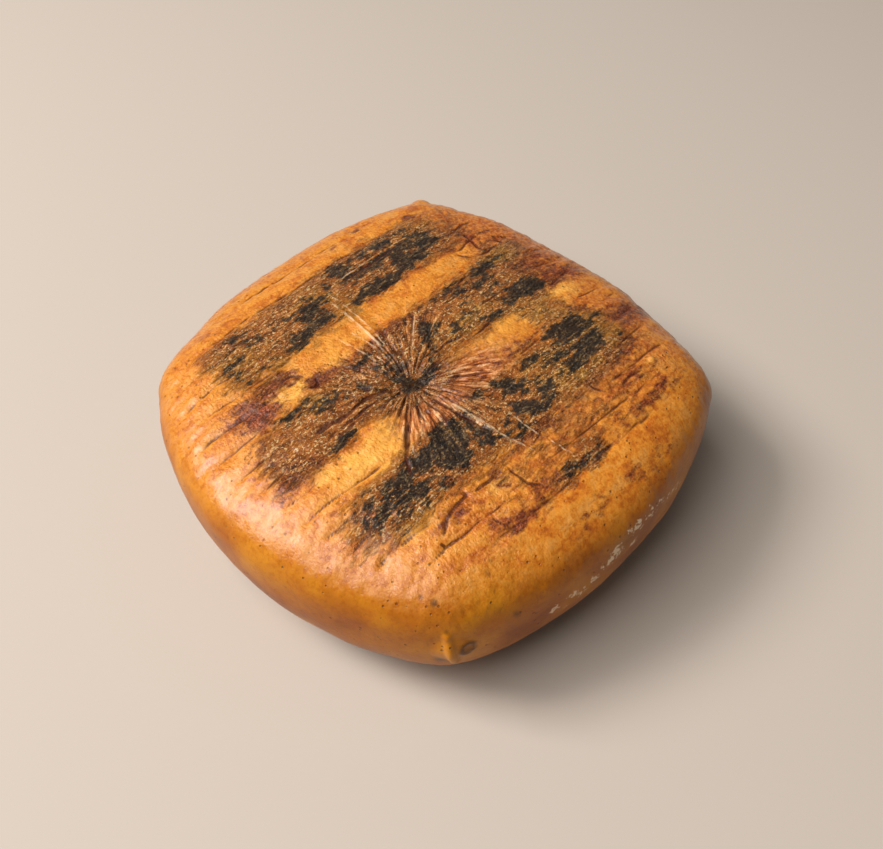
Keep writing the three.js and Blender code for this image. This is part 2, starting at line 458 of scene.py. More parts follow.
# %% Folds, creases, seams and cracks
# Fold lines: half width, depth, then x and y of each point of the path in turn.
FOLD_LINES = [
    (0.6, 0.45, -38, 83.8, -18, 83.9, 5, 83.2, 24, 83.6, 40, 83.8),
    (0.7, 0.6, -68, 70, -60, 71.2, -44, 71.7, -34, 73, -18, 72.6, 0, 71, 24, 72, 60, 71.6, 76, 71),
    (0.5, 0.35, -74, 61.5, -62, 61.4, -53, 60, -44, 61.2),
    (0.5, 0.5, -82, 50.2, -74, 51.8, -66, 51.9, -58, 50.8, -50, 50.6),
    (0.5, 0.5, -84, 42.9, -76, 42.7, -68, 41.5, -60, 40.4, -50, 39.4, -38, 38.7, -14, 38.2),
    (0.6, 0.6, -88, 32, -81, 33.2, -74, 31.4, -66, 30, -58, 29.2),
    (0.5, 0.5, -89, 22.6, -80, 22.3, -72, 21.4, -64, 21),
    (0.5, 0.45, -89, 12, -80, 10.6, -68, 9.8),
    (0.5, 0.3, -88, 1, -80, 0.4, -70, 0.2),
    (0.5, 0.45, -88, -9.6, -80, -11, -74, -12, -62, -13.6),
    (0.6, 0.55, -87, -19, -80, -20.3, -72, -21.1, -60, -22.6, -50, -23.8, -38, -24.6),
    (0.5, 0.4, -84, -29.4, -76, -30.3, -68, -30.6),
    (0.5, 0.5, -84, -39, -78, -39.8, -70, -40.2, -62, -41.2),
    (0.7, 0.6, -80, -47.6, -74, -49.8, -66, -51.2, -58, -52.6, -50, -54),
    (0.5, 0.45, -69, -61.4, -60, -62.6, -50, -63.6, -36, -64.7, -22, -65.3),
    (0.6, 0.5, -62, -71, -50, -72.5, -36, -73.6, -22, -75.4, 0, -75.4, 24, -76.2, 46, -76.4, 66, -76),
    (0.5, 0.4, -20, -64.6, 0, -64.6, 20, -66, 36, -66.8, 52, -67, 74, -66.4),
    (0.5, 0.4, 33, -57, 45, -57.6, 60, -57.4, 72, -57, 84, -56),
    (0.6, 0.5, 50, -47.8, 58, -47, 66, -46.2, 76, -45.2, 86, -44),
    (0.5, 0.45, 66, -37, 76, -35.6, 88, -34),
    (0.5, 0.35, 74, -26, 82, -25, 90, -24),
    (0.5, 0.35, 66, -17, 76, -18.4, 86, -18),
    (0.5, 0.4, 66, -6, 74, -4, 86, -1.5),
    (0.5, 0.3, 70, 8, 80, 7, 90, 6),
    (0.5, 0.3, 76, 18, 84, 17, 92, 17),
    (0.6, 0.45, 4, 59.4, 20, 58.6, 36, 58.6, 52, 58.4),
]
# Dark creases and cracks: half width, depth, then the path.
CREASES = [
    (0.8, 0.9, -64, 3, -56, 3.4, -48, 2.6, -40, 2, -32, 2.2, -22, 0.6),
    (0.5, 0.5, -60, -1.6, -46, -1.2, -34, -1.6, -22, -2),
    (0.5, 0.5, -56, -3.4, -44, -3, -30, -3.6),
    (0.7, 0.9, -24, -11, -28, -16, -33, -20.6, -38, -25, -41.5, -29, -45, -34, -49, -40),
    (0.6, 0.55, -59, 28.8, -52, 29.4, -46, 28.4, -41.6, 27.6),
    (0.5, 0.5, -52, 32.4, -46, 32.8, -42, 31.6, -39.4, 29, -38.6, 25.4),
    (0.6, 0.6, -43.5, 22.2, -39, 20.8, -36, 23.6, -32, 22),
    (0.5, 0.4, -24, 27, -22.4, 23, -22, 19),
    (0.45, 0.35, -31, 28, -28.6, 24, -26.4, 21),
    (0.6, 0.6, -14.2, -12, -13.6, -20, -12.8, -30, -12, -44),
    (0.5, 0.5, -9, -12, -8, -18, -5.4, -24, -3, -29),
    (0.5, 0.5, -4.6, -10, 0, -15, 5, -19, 12, -23),
    (0.5, 0.4, -17, -12, -17.6, -18, -16.8, -27),
    (0.5, 0.4, -21, -12, -23.6, -18, -25, -24),
    (0.5, 0.8, 52, 37, 58, 37, 64, 38.8, 70, 39.8, 77, 39),
    (0.6, 0.6, 54, 37, 55.4, 33.4, 57.4, 30),
    (0.6, 0.8, 69, 46, 68.4, 43, 67.6, 39, 66, 34, 65.6, 29.6),
    (0.5, 0.6, 76, 39, 78.6, 35, 82, 32.4, 86, 31),
    (0.6, 0.4, 77.6, 36, 76.4, 32, 76.8, 27),
    (0.5, 0.6, 58, 48, 66, 48.6, 74, 50.4, 82, 50),
    (0.5, 0.35, 60, 29, 68, 28.6, 76, 29),
    (0.7, 0.65, -58, -60.6, -54, -58.6, -49, -56, -44, -55.2, -38.6, -54.6, -38, -53, -42.6, -52),
    (0.5, 0.4, -58, -60, -57.4, -62.6),
    (0.5, 0.4, -36.4, -54.8, -30, -56, -24, -56.6),
    (0.5, 0.4, -19.6, -52, -19.4, -60, -19, -66, -16, -69.6, -12, -70),
    (0.5, 0.35, -39, -65, -37.4, -70, -35.6, -74),
    (0.5, 0.4, 20, -24, 30, -24.6, 41, -23.6),
    (0.45, 0.35, 32, -51, 31.6, -55, 34, -60, 38, -63.6),
    (0.5, 0.35, 40, -62, 48, -60.6, 56, -62),
    (0.4, 0.3, 20, 19.6, 36, 20.6, 50, 23),
    (0.5, 0.5, 32, 5.4, 42, 5.2, 52, 5.6),
    (0.5, 0.4, 14, -4.6, 24, -4.8, 34, -4.4),
    (0.5, 0.5, 0, 0.6, 10, 0, 22, -0.6),
]
# Pale seams: half width, height, then the path.
SEAMS = [
    (0.4, 0.6, -3.6, 57, -4, 46, -6.2, 31, -8.4, 19, -10, 8),
    (0.3, 0.3, -0.4, 62, -0.6, 50, -3, 34, -6, 20, -8.4, 9),
    (0.4, 0.45, -17.2, 38, -16.6, 27, -15.8, 17, -14.6, 8),
    (0.3, 0.25, -10.8, 37, -10.4, 24, -10.8, 12),
    (0.35, 0.4, 19.6, 25.7, 9, 17, 1.9, 10.2, -4, 5),
    (0.35, 0.6, -12.6, -12, -11.8, -19, -11.4, -29, -10.4, -40, -9, -50, -7, -58, -5.4, -65),
    (0.3, 0.3, -2, -37, -0.8, -46, 0.4, -58, 1.8, -67, 3.8, -75),
    (0.3, 0.35, -34, -25, -37, -28.4, -40, -33),
    (0.3, 0.3, 4, 60.4, 20, 60.2, 34, 60.4),
]
KNOB = (62, -60.6, 2.3, 1.0)  # a raised bead: x, y, radius, height
WANDER = 0.5  # how far a stroke strays from its path
FADING = 0.3  # the share of a stroke over which each end fades


def path_distance(x, y, path):
    """Distance from above to a path, and how far along it the nearest point is, from 0 to 1."""
    best = np.full(len(x), 1e9)
    along = np.zeros(len(x))
    for i, ((x1, y1), (x2, y2)) in enumerate(zip(path, path[1:])):
        dx, dy = x2 - x1, y2 - y1
        t = np.clip(((x - x1) * dx + (y - y1) * dy) / (dx * dx + dy * dy), 0, 1)
        distance = np.hypot(x - x1 - t * dx, y - y1 - t * dy)
        closer = distance < best
        best = np.where(closer, distance, best)
        along = np.where(closer, (i + t) / (len(path) - 1), along)
    return best, along


def strokes(points, marks, wander_size, seed, wide=2.0, broken=0.5):
    """Profile from 0 to 1 and depth in millimetres of a set of strokes."""
    x = points[:, 0] + WANDER * noise(points, wander_size, seed)
    y = points[:, 1] + WANDER * noise(points, wander_size, seed + 1)
    uneven = np.clip(0.9 + broken * noise(points, (4, 4, 9), seed + 2), 0.15, 1.2)
    widening = 0.5 * smooth(np.hypot(x, y), 80, 100)
    mark = np.zeros(len(x))
    depth = np.zeros(len(x))
    for half_width, deep, *path in marks:
        distance, along = path_distance(x, y, list(zip(path[::2], path[1::2])))
        ends = smooth(along, 0, FADING) * smooth(1 - along, 0, FADING)
        line = bump(distance, wide * half_width + widening) * (0.1 + 0.9 * ends) * uneven
        mark = np.maximum(mark, line)
        depth = np.maximum(depth, deep * line)
    return mark, depth


on_top = np.where(upper, smooth(z, 44, 56), 0)
x, y, z = skin.T
fold_mark, fold_cut = strokes(skin, FOLD_LINES, 7, 25, wide=1.7)
_, fold_valley = strokes(skin, FOLD_LINES, 7, 25, wide=6)
crease_mark, crease_cut = strokes(skin, CREASES, 5, 21)
seam_mark, seam_height = strokes(skin, SEAMS, 9, 31, wide=2.4, broken=0.3)
beads = np.clip(0.9 + 0.5 * noise(skin, 1.6, 37), 0.3, 1.3)
relief = seam_height * beads - fold_cut - 0.7 * fold_valley - crease_cut
relief = relief + KNOB[3] * bump(np.hypot(x - KNOB[0], y - KNOB[1]), KNOB[2])
print("folds:", len(FOLD_LINES), "creases:", len(CREASES), "seams:", len(SEAMS))

# %% [markdown]
# ## Fine relief
# Under the fingers the top is wrinkled like old leather along the folds, the brown crust is
# gritty, and the smooth sides have shallow dents. What is wider than a millimetre is real
# geometry here; the finest grain is left to the material. The near corner keeps the mark of
# its knot: a short upright ridge, and beside it a round scar.

# %% Fine relief
# Where crust lies: x, y, half length, half width, strength.
CRUST = [
    (-32, 54, 28, 14, 0.9), (31, 56, 34, 15, 0.92), (30, 9, 38, 14, 0.94), (-40, 6, 32, 14, 0.9),
    (-13, 0, 16, 15, 0.95), (-40, -38, 33, 12, 0.94), (28, -38, 37, 13, 0.92), (52, -14, 11, 11, 0.62),
    (10, -60, 44, 11, 0.34), (70, 24, 13, 8, 0.5), (-2, -74, 11, 4, 0.6), (9, -73, 7, 5, 0.6),
    (-46, 64, 14, 6, 0.5), (-50, 33, 12, 4, 0.35), (72, 46, 10, 20, 0.15), (-68, 3, 10, 10, 0.45),
    (0, 68, 30, 5, 0.35), (-8, -20, 20, 10, 0.2),
]
SCAR = (-69, -83.4, 39.5)
SCAR_RADIUS = 2.8
KNOT = [(-74.8, -79.5, 47), (-74.6, -81, 40), (-72, -81, 30)]
KNOT_WIDTH = 2.6
KNOT_HEIGHT = 1.7


def paint(points, patches, seed, rounding=2, add_up=True):
    """Soft patches with wandering borders, from 0 to 1. At its half width a patch is half gone."""
    wide, narrow = (8, 4, 20), (2.4, 1.6, 9)
    x = points[:, 0] + 2.2 * noise(points, wide, seed, 2) + 0.9 * noise(points, narrow, seed + 2)
    y = points[:, 1] + 1.8 * noise(points, wide, seed + 5, 2) + 0.7 * noise(points, narrow, seed + 7)
    clear = np.ones(len(x))
    for middle_x, middle_y, half_x, half_y, strength in patches:
        away = (np.abs(x - middle_x) / half_x) ** rounding + (np.abs(y - middle_y) / half_y) ** rounding
        left = 1 - strength * np.exp(-0.7 * away)
        clear = clear * left if add_up else np.minimum(clear, left)
    return 1 - clear


def grooves(points, size, seed):
    """Narrow grooves from 0 to 1 where a noise crosses zero."""
    return np.clip(1 - 3 * np.abs(noise(points, size, seed)), 0, 1) ** 1.5


def knot_ridge(points):
    """A rounded ridge along the line of the knot."""
    nearest = np.full(len(points), 99.0)
    for first, second in zip(KNOT, KNOT[1:]):
        start, end = np.array(first), np.array(second)
        share = np.clip((points - start) @ (end - start) / np.sum((end - start) ** 2), 0, 1)
        away = np.linalg.norm(points - start - share[:, None] * (end - start), axis=1)
        nearest = np.minimum(nearest, away)
    return bump(nearest, KNOT_WIDTH)


crust = paint(skin, CRUST, 51, rounding=4) * on_top
wrinkles = noise(skin, (9, 1.4, 6), 61, 2) * (0.03 + 0.12 * crust)
wrinkles = wrinkles - 0.35 * crust * grooves(skin, (14, 2.6, 9), 62)
grit = noise(skin, (1.6, 1.4, 1.6), 63) * (0.02 + 0.26 * crust)
dents = 0.28 * noise(skin, (15, 12, 12), 67) + 0.1 * noise(skin, 5.5, 69)
leather = (0.16 * noise(skin, (1.8, 2.6, 2), 71) + 0.14 * noise(skin, (5, 3, 4), 72)) * on_top
shoulder = bump(z - 62, 16) * smooth(np.abs(x), 56, 74)
pillows = (0.26 * noise(skin, (10, 3.2, 9), 73) + 0.1 * noise(skin, 1.7, 74)) * shoulder
scar_away = distance_to(skin, SCAR)
scar = 0.5 * bump(scar_away - SCAR_RADIUS, 1.2) - 0.7 * bump(scar_away, SCAR_RADIUS)
fine = relief * on_top + wrinkles + grit + dents + leather + pillows + scar
fine = (fine + KNOT_HEIGHT * knot_ridge(skin)) * smooth(z, 0, 6)

normals = np.empty(3 * len(rind.data.vertices), np.float32)
rind.data.vertex_normals.foreach_get("vector", normals)
skin = skin + normals.reshape(-1, 3) * fine[:, None]
set_points(rind, skin)
print("fine relief:", np.round(fine.min(), 2), "to", np.round(fine.max(), 2), "mm")

# %% [markdown]
# ## To metres, and into the solid's box
# The skin is finished, so it is turned into metres and laid exactly into the box of the
# solid that it stands for. That presses it down by about a hundredth, and less across.

# %% To metres, and into the solid's box
low, high = skin.min(0), skin.max(0)
box_low, box_high = np.array(cad_low), np.array(cad_high)
stretch = (box_high - box_low) / (high - low)
set_points(rind, box_low + (skin - low) * stretch)
print("stretch:", np.round(stretch / MM, 4))
for polygon in rind.data.polygons:
    polygon.use_smooth = True

# %% [markdown]
# ## Painting the stains
# Which spot is black, brown, red or golden was decided by months on a shelf, so the patches
# are placed one by one: a place, two half widths and a strength, in millimetres. Each
# becomes a soft number on the points. A strength near a half gives specks, and one near 1
# gives full cover, because the material adds grain before it decides.

# %% Painting the stains
MOULD = [
    # Back left and back right.
    (-12, 55, 8, 5.5, 0.75), (-12, 46, 6, 4.5, 0.8), (-23, 45, 8, 4, 0.85), (-28, 42, 7, 2.2, 0.75),
    (-52, 53, 7, 5, 0.5), (-52, 45.5, 7, 3.5, 0.45), (-44, 43, 6, 3, 0.4), (-42, 64, 5, 4, 0.5),
    (-40, 58, 6, 3, 0.35), (-20, 58, 9, 4, 0.35), (2, 61, 4, 2.5, 0.65), (15, 65, 6, 5.5, 0.75),
    (27, 66, 5, 4, 0.65), (38, 66, 7, 3.5, 0.65), (30, 58, 24, 1.9, 0.75), (13, 55, 6, 3.5, 0.5),
    (27, 56, 7, 3.5, 0.5), (40, 55.5, 9, 4.5, 0.65), (53, 54, 6, 4.5, 0.6), (36, 50, 8, 4.5, 0.75),
    (17, 45, 9, 4.5, 0.95), (24, 44.5, 6, 3.5, 0.9), (38, 46, 9, 3.6, 0.88), (44, 48.5, 6, 2.2, 0.75),
    (55, 49, 7, 2.2, 0.55), (50, 64, 6, 4, 0.42), (6, 44, 5, 3, 0.45), (21, 53, 5, 3, 0.35),
    # Middle left, tie and middle right.
    (-54, 17, 8, 2.8, 0.66), (-47, 18.5, 5, 1.6, 0.55), (-44, 12.4, 6, 3, 0.6), (-52, -7, 7, 2.4, 0.7),
    (-40, 10, 8, 2.4, 0.4), (-18, 17, 4, 3, 0.5), (-13, 8, 6, 5, 0.45), (-28, 7, 2, 1.4, 0.6),
    (-14, -1, 2.8, 4, 0.75), (-6, -4.4, 7, 2.6, 0.9), (-13.6, -4.6, 3.6, 2.8, 0.95), (-26, -2, 6, 3, 0.35),
    (34, 21, 10, 2, 0.6), (56, 21.5, 10, 3.4, 0.8), (36, 18.6, 8, 3, 0.5), (48, 16, 9, 3, 0.55),
    (45, 14, 4, 2, 0.55), (58, 3.6, 8, 2.4, 0.72), (57, -0.4, 10, 3.6, 0.98), (47, -1, 5, 2.6, 0.7),
    (35, -2.5, 7, 2.4, 0.55), (12, 11, 5, 3.4, 0.55), (7, 7, 5, 3, 0.5), (19, 3.4, 3, 1.6, 0.6),
    (36, 9, 10, 2, 0.42), (5, 1, 8, 1.6, 0.5), (50, 9, 12, 2.4, 0.4), (28, 6, 10, 4, 0.3),
    # Front left.
    (-65, -33, 5, 5, 0.45), (-62, -38, 8, 6, 0.56), (-52, -35, 7, 5, 0.62), (-50, -42, 9, 4, 0.64),
    (-46, -33, 5, 4.4, 0.7), (-38, -33, 6, 4, 0.82), (-42, -30, 5, 2.2, 0.6), (-24, -34, 8.6, 6, 1.0),
    (-29, -41, 6, 3.6, 0.93), (-34, -39, 4, 4, 0.6), (-16, -42, 4, 4.4, 0.66), (-12.6, -35, 1.8, 9, 0.7),
    (-9, -46, 3.4, 2, 0.7), (-4, -49, 5, 1.8, 0.75), (-57, -45, 9, 3.4, 0.45), (-40, -46, 8, 3, 0.4),
    # Front right.
    (-1, -28, 3.4, 2.2, 0.7), (-1, -33, 3, 4, 0.4), (9, -31, 5, 4.4, 0.9), (12, -37, 2.6, 4, 0.7),
    (3, -35, 4, 1.6, 0.5), (3.6, -43, 3.4, 3, 0.84), (9, -46, 4.4, 2.2, 0.82), (13, -47.4, 5, 2.2, 0.86),
    (18.4, -43.6, 2.4, 2.6, 0.8), (-4, -43, 2.4, 2, 0.5), (26, -30, 6, 1.6, 0.72), (50, -26.4, 11, 3.4, 1.0),
    (51, -30.6, 10, 2.6, 0.97), (38, -36.5, 6, 2, 0.62), (38, -42.6, 7, 3.2, 0.75), (48, -41, 6, 4.4, 1.0),
    (54, -37, 5, 2.4, 0.85), (46, -36, 9, 2.6, 0.5), (66, -30, 3.4, 2.6, 0.5), (64, -43.5, 3, 1.4, 0.5),
    (22, -36, 12, 7, 0.34), (-3, -72, 3.6, 3, 0.5), (0, -75, 5, 1.5, 0.5), (9, -72.6, 5, 4, 0.38),
    (34, -72, 5, 2.4, 0.35), (62, -66, 3, 1.5, 0.3),
]
STAINS = [
    (-62, 26.5, 8, 8, 1.0), (-69, 31, 8, 3, 0.7), (-50, 33.4, 6, 4.4, 0.8), (-45, 36, 6, 3, 0.55),
    (-43, 31, 6, 3.4, 0.5), (-66, 37, 10, 3.4, 0.4), (-36, 24, 6, 3.4, 0.5), (-38, 21.6, 6, 2, 0.7),
    (-73, 13, 5, 4.6, 0.52), (-72, 6, 4, 3, 0.6), (-73, 0.4, 6, 3.4, 0.6), (-74, -5, 8, 3.4, 0.72),
    (-62, -7, 7, 2.4, 0.6), (-46, 5.6, 12, 2.6, 0.5), (-12, 20, 18, 3, 0.5), (2, 20.6, 9, 2.2, 0.85),
    (-20, 15.6, 9, 5, 0.55), (-31, 18, 7, 4, 0.5), (-2, 21, 5, 3, 0.6), (14, 19, 8, 4, 0.45),
    (74, -2, 17, 6, 0.72), (77, -3.6, 8, 1.6, 0.9), (80, -35, 14, 5, 0.82), (79, 12, 12, 3, 0.55),
    (78, 30, 10, 9, 0.3), (68, 44, 4, 4, 0.5), (66, 48.4, 12, 2.4, 0.5), (76, 40, 7, 2, 0.5),
    (66, 34, 3, 6, 0.45), (80, 22, 9, 10, 0.25), (70, 14, 8, 5, 0.35), (84, 2, 10, 16, 0.25),
    (60, 72, 3.6, 2, 0.85), (42, 84, 3, 1.8, 0.8), (25, 81.6, 2, 2, 0.6), (50, 70, 22, 3, 0.35),
    (-45, 78, 8, 2, 0.3), (-54, 61, 8, 1.6, 0.4), (10, 55, 10, 4, 0.4), (-32, 54, 14, 9, 0.3),
    (30, 40, 22, 2.4, 0.55), (54, 42, 8, 4, 0.45), (36, 26, 12, 4, 0.45), (66, 60, 12, 9, 0.25),
    (55, -51, 14, 3, 0.7), (62, -47.4, 10, 2, 0.55), (51, -61, 10, 4, 0.6), (32, -52, 8, 4, 0.35),
    (8, -53, 14, 6, 0.45), (-2, -53.4, 9, 3.4, 0.72), (14, -62, 22, 6, 0.3), (-46, -57, 9, 3.2, 0.66),
    (-24, -58, 4, 5, 0.6), (-38, -70, 3.4, 5, 0.66), (-28, -74, 10, 2.6, 0.82), (-14, -70, 8, 3.4, 0.52),
    (20, -73.4, 34, 3, 0.45), (50, -72, 14, 3.4, 0.6), (30, -22.4, 14, 2.6, 0.62), (12, -18, 8, 5, 0.42),
    (66, -28, 6, 5, 0.5), (70, -41, 8, 2.4, 0.6), (64, -22, 6, 3, 0.5), (-58, -40, 12, 8, 0.5),
    (-36, -47, 12, 3, 0.6), (-6, -88, 8, 3, 0.45), (16, -89, 9, 3, 0.5), (-20, -87, 6, 2.4, 0.35),
    (36, -88, 8, 3, 0.4), (-68, -34, 5, 8, 0.42), (60, 12, 8, 10, 0.3), (-66, -3, 10, 3, 0.4),
]
FLESH = [
    (-8, -18, 24, 10, 0.85), (6, -20, 18, 7, 0.7), (-30, -20, 5, 6, 0.5), (-20, -24, 8, 6, 0.7),
    (-50, 6.5, 10, 3, 0.5), (44, 13, 14, 5, 0.4), (40, -53, 14, 4, 0.5), (-6, -32, 5, 8, 0.6),
]
GOLD = [
    (-49, 24.6, 9, 4.8, 1.0), (-25, 32, 14, 5.4, 0.4), (-24, 26, 9, 5, 0.36), (-12, 33, 9, 5, 0.2),
    (-45, -17, 20, 6, 1.0), (-48, -26, 9, 3, 0.7), (-66, -15, 12, 6, 0.4), (38, 33, 11, 5, 0.3),
    (20, 34, 9, 4, 0.2), (8, 33, 8, 4, 0.15), (72, -9, 8, 7, 0.8), (56, -9, 9, 3.4, 0.65),
    (35, -12, 13, 5, 0.65), (22, -16, 9, 4, 0.55), (-60, -51, 9, 4, 0.55), (-27, -60, 10, 4.4, 0.66),
    (-6, -60, 7, 4, 0.45), (-4, 68, 10, 5, 0.4), (74, 44, 8, 4, 0.4), (60, 34, 5, 3.4, 0.45),
    (70, -50, 8, 4, 0.4), (KNOB[0], KNOB[1], 3, 2, 1.0), (40, -69, 22, 2.4, 0.3),
]
OLIVE = [
    (-49, 51, 12, 10, 0.7), (52, -14, 9, 8, 0.6), (28, -35, 18, 9, 0.6), (60, -38, 9, 8, 0.8),
    (26, 3, 26, 8, 0.6), (70, 23, 11, 5.4, 0.9), (62, -30, 7, 5, 0.6), (-56, -49, 10, 5, 0.66),
    (-46, 15, 13, 6, 0.6), (-2, 48, 6, 18, 0.6), (36, -46, 14, 5, 0.6), (50, 60, 14, 9, 0.5),
    (-30, 38.6, 26, 2.4, 0.5), (-14, 62, 12, 6, 0.5), (0, -68, 12, 8, 0.4),
]
# Broad reddening and darkening, mostly on the far right: partly red-brown rind, partly painted shade where
# the top turns away from the window.
BLUSH_AND_SHADE = [
    (84, 24, 15, 34, 0.95), (76, -36, 14, 12, 0.8), (72, 50, 14, 14, 0.7), (66, 14, 12, 24, 0.45),
    (20, -63, 52, 12, 0.5), (58, -56, 22, 8, 0.45), (-42, -58, 14, 6, 0.5), (-70, 4, 10, 14, 0.5),
    (-64, 30, 12, 8, 0.5), (10, -22, 34, 5, 0.5), (-30, -73, 24, 4, 0.5), (-36, 60, 24, 8, 0.35),
    (4, 67, 56, 5, 0.55), (-4, -16, 22, 12, 0.6), (-12, 20, 30, 4, 0.5),
]


def store(name, values):
    """Keeps one number for each point, which the material reads by name."""
    layer = rind.data.attributes.new(name, "FLOAT", "POINT")
    layer.data.foreach_set("value", values.astype(np.float32))


x, y, z = skin.T
from_tie = np.hypot(x - tie[0], y - tie[1])
spoke_shade = np.clip(spokes(x + middle[0], y + middle[1], *COARSE_SPOKES) * bump(from_tie, 46), 0, 1)
under = np.where(upper, 0, smooth(30 - z, 0, 25))
band_wave = np.sin((y + 4 * noise(skin, 20, 91)) / 7.5) + 0.7 * noise(skin, (25, 9, 9), 93, 2)
under_bands = smooth(band_wave, 0.2, 0.9) * under
crack_like = np.maximum(crease_mark, 0.76 * fold_mark)

store("crust", np.maximum(crust, 0.75 * under_bands))
store("mould", paint(skin, MOULD, 81, 2.5, add_up=False) * on_top + 0.4 * under_bands)
for name, patches, seed in (("stain", STAINS, 83), ("flesh", FLESH, 87), ("gold", GOLD, 85),
                            ("olive", OLIVE, 89), ("blush_and_shade", BLUSH_AND_SHADE, 88)):
    store(name, paint(skin, patches, seed) * on_top)
# Dark creases, folds and spokes round the tie: partly stained rind, partly painted shade in the grooves.
store("crease_stain_and_shade", np.maximum(crack_like, 0.8 * spoke_shade * np.maximum(crust, 0.4)) * on_top)
store("seam_and_highlight", np.clip(seam_mark * beads, 0, 1) * on_top)
store("ray", bump(from_tie, 64) * on_top)
top = on_top * smooth(z, 52, 66)
store("top", top)
# The skin is least wrinkled over the front and right shoulders.
calm = np.maximum(smooth(-y, 62, 78) * smooth(x, -50, -25), smooth(x, 70, 84))
store("leathery", top * (1 - 0.6 * calm))
store("oil", np.where(upper, smooth(z, 50, 64), 0) * (1 - 0.7 * crack_like))
print("painted layers:", [layer.name for layer in rind.data.attributes if layer.data_type == "FLOAT"])

# %% [markdown]
# A white bloom sits along the widest line of the front side, in flecks that line up like a
# broken thread, with one patch as large as a fingernail. It has flaked off in places, so a
# noise with narrow gaps eats into it. The scar is a dull ring with a paler middle, and a few
# pores stand open near the knot. Beside the largest fleck a painted shadow darkens the side,
# stored with the scar.

# %% Bloom and scar
# Flecks of bloom on the front side: x, z, two half widths, strength.
BLOOM = [
    (-9, 45.8, 4.4, 3.4, 1.0), (-13.4, 45, 3, 2.6, 0.9), (-7, 49, 2.4, 2, 0.7), (1.8, 43.4, 2.2, 2, 0.85),
    (3.9, 52, 2.6, 2, 0.8), (-0.6, 52, 2.4, 1.4, 0.6), (12.7, 51.2, 2.6, 2.8, 0.85), (26, 48, 4.4, 2, 0.75),
    (-18.8, 41.4, 3, 1.8, 0.7), (-21.7, 39.6, 2.4, 1.6, 0.7), (-24.6, 37.6, 2.4, 2, 0.6),
    (-28.4, 40.6, 3, 1.8, 0.7), (-31, 35.6, 2, 1.6, 0.5), (-36.9, 38, 2.4, 2.8, 0.65), (34, 45, 3, 1.6, 0.5),
]
BLOOM_LINE = [(-38, 36), (-28, 40), (-19, 42.5), (-9, 46), (4, 50), (18, 50), (34, 46)]  # x, z
# Open pores: x, y, z, radius, strength.
PORES = [
    (-74.1, -67.1, 58.7, 0.9, 0.9), (-72.5, -71.5, 58, 1.3, 1.0), (-75, -77, 31.6, 2.4, 0.9),
    (-72.4, -77.4, 29.6, 1.6, 0.8), (-56.7, -87.1, 51.8, 1.2, 0.8), (-51.9, -90.2, 48.3, 1.3, 0.8),
    (-53.2, -77.9, 61, 0.9, 0.8), (-74, -78.4, 49.4, 0.9, 0.7), (-49.6, -75.5, 62.4, 0.8, 0.7),
]

from_line = path_distance(x, z, BLOOM_LINE)[0]
front_side = smooth(-y, 78, 88)
specks = np.clip(noise(skin, (2.2, 2.2, 1.4), 95, 2), 0, 1)
flaked = np.clip(0.85 + 0.9 * noise(skin, 1.7, 96), 0, 1)
bloom = 0.7 * bump(from_line, 5) * specks
for place_x, place_z, half_x, half_z, strength in BLOOM:
    away = np.hypot((x - place_x) / half_x, (z - place_z) / half_z)
    bloom = np.maximum(bloom, strength * bump(away, 1.9) * flaked)
other_side = 0.5 * bump(z - 30, 9) * smooth(x, 70, 92) * specks
bloom = np.maximum(bloom * front_side, other_side)
store("bloom", bloom)

scar_dark = 0.4 * bump(scar_away, 4.5) + 0.8 * bump(scar_away - SCAR_RADIUS, 1.6)
for *pore, radius, strength in PORES:
    scar_dark = np.maximum(scar_dark, strength * bump(distance_to(skin, pore), 1.6 * radius))
# A painted shadow beside the largest fleck of bloom; it is stored with the scar and takes its dark colour.
bloom_shadow = 0.4 * bump(np.hypot((x + 4) / 1.6, z - 48), 8) * front_side
store("scar", np.clip(np.maximum(scar_dark, bloom_shadow), 0, 1))
print("bloom flecks:", len(BLOOM), "pores:", len(PORES))

# %% [markdown]
# ## Tools for the material
# The material is built from a few steps over and over: a noise of some grain in millimetres,
# a soft threshold, a ramp of colours, a mix. Each step gets a short helper, which adds its
# node to the tree that is called tree at the time and links what it is given.

# %% Tools for the material
def add_node(kind, settings, inputs):
    """Adds a node and returns its outputs. An input is a number, a colour or another's output."""
    made = tree.nodes.new("ShaderNode" + kind)
    for name, value in settings.items():
        setattr(made, name, value)
    for name, value in inputs.items():
        if isinstance(value, bpy.types.NodeSocket):
            tree.links.new(value, made.inputs[name])
        else:
            made.inputs[name].default_value = value
    return made.outputs


def in_millimetres(along=1, across=1):
    """Object coordinates in millimetres, drawn out along X or across it where a number is over 1."""
    place = add_node("TexCoord", {}, {})["Object"]
    scale = (1 / (MM * along), 1 / (MM * across), 1 / MM)
    return add_node("Mapping", {}, {"Vector": place, "Scale": scale})["Vector"]


def noise_node(place, grain, detail=3.0, rough=0.55, warp=0.0):
    inputs = {"Vector": place, "Scale": 1 / grain, "Detail": detail, "Roughness": rough, "Distortion": warp}
    return add_node("TexNoise", {}, inputs)["Fac"]


def threshold(value, low, high):
    """0 below low and 1 above high, smooth between."""
    inputs = {"Value": value, "From Min": low, "From Max": high}
    return add_node("MapRange", {"interpolation_type": "SMOOTHSTEP"}, inputs)["Result"]


def math_node(operation, first, second=0.0):
    return add_node("Math", {"operation": operation}, {0: first, 1: second})["Value"]


def times(first, second):
    return math_node("MULTIPLY", first, second)


def plus(first, second):
    return math_node("ADD", first, second)


def minus(first, second):
    return math_node("SUBTRACT", first, second)


def vector_node(operation, first, second=(0, 0, 0)):
    outputs = add_node("VectorMath", {"operation": operation}, {0: first, 1: second})
    return outputs["Value" if operation == "LENGTH" else "Vector"]


def painted(name):
    return add_node("Attribute", {"attribute_name": name}, {})["Fac"]


